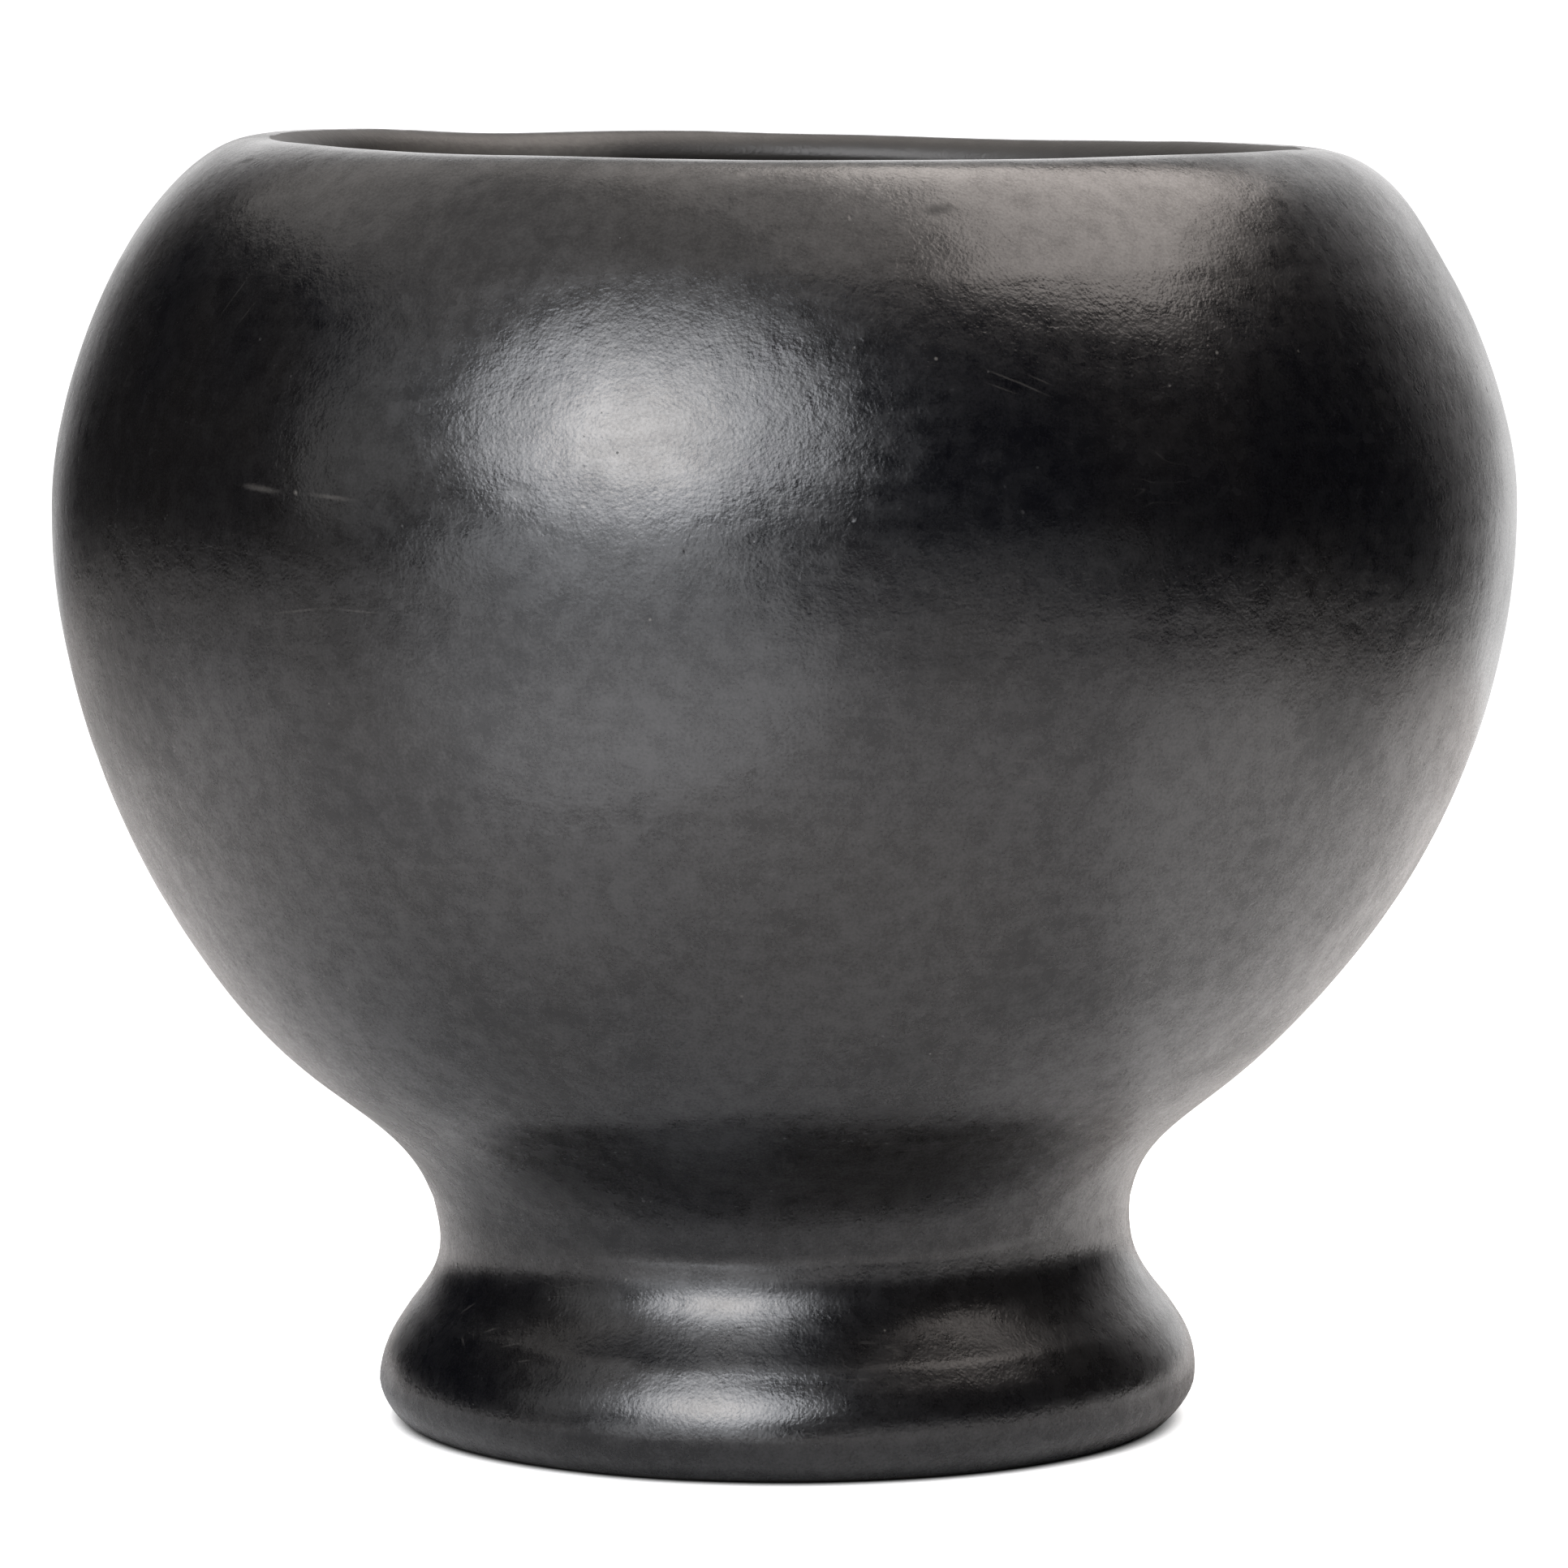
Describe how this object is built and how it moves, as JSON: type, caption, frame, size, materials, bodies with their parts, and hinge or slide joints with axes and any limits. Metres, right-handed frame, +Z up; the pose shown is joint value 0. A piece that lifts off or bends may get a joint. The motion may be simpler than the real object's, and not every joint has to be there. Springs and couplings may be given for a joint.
{
  "type": "footed clay bowl",
  "caption": "Round burnished black clay bowl with an incurved rim, standing on a hollow flared ring foot, built from luted coils and a pressed floor slab.",
  "frame": {"origin": "middle of the foot on the surface that the bowl stands on", "axes": "+Z up along the bowl's axis; the picture looks along +Y, with +X to its right"},
  "size_m": [0.18, 0.18, 0.159],
  "materials": {
    "burnished_clay": "black fired clay, pebble burnished to a soft gloss",
    "wiped_clay": "black fired clay, wiped smooth and left satin",
    "dry_clay": "black fired clay with a brown cast, matte and unburnished"
  },
  "bodies": {
    "root": {"foot_coil": "burnished_clay", "foot_flare_course": "burnished_clay", "neck_collar": "burnished_clay", "floor_slab": "wiped_clay", "luting_coil": "dry_clay", "lower_wall_course": "burnished_clay", "flaring_wall_course": "burnished_clay", "belly_course": "burnished_clay", "upper_wall_course": "burnished_clay", "shoulder_course": "burnished_clay", "rim_coil": "burnished_clay"}
  },
  "joints": []
}
